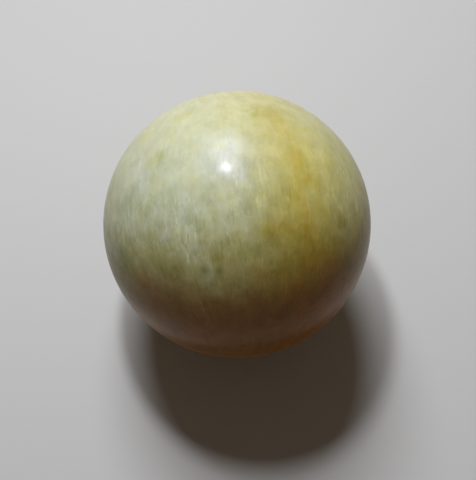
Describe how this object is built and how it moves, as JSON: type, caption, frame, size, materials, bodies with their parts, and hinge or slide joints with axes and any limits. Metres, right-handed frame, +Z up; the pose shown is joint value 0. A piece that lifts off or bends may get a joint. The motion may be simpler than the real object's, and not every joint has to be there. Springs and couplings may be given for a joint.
{
  "type": "wooden ball",
  "caption": "Solid wooden ball, turned and polished to a plain sphere with no flat or hole; pale yellow wood with fine grain and a clear finish.",
  "frame": {"origin": "centre of the ball, which is the centre of whatever cup or ring holds it", "axes": "+Z up; a ball is the same about every axis, so +Y only says which way the front view looks"},
  "size_m": [0.08, 0.08, 0.08],
  "materials": {
    "wood": "fine-grained pale wood, polished under a thin clear gloss coat"
  },
  "bodies": {
    "root": {"ball": "wood"}
  },
  "joints": []
}
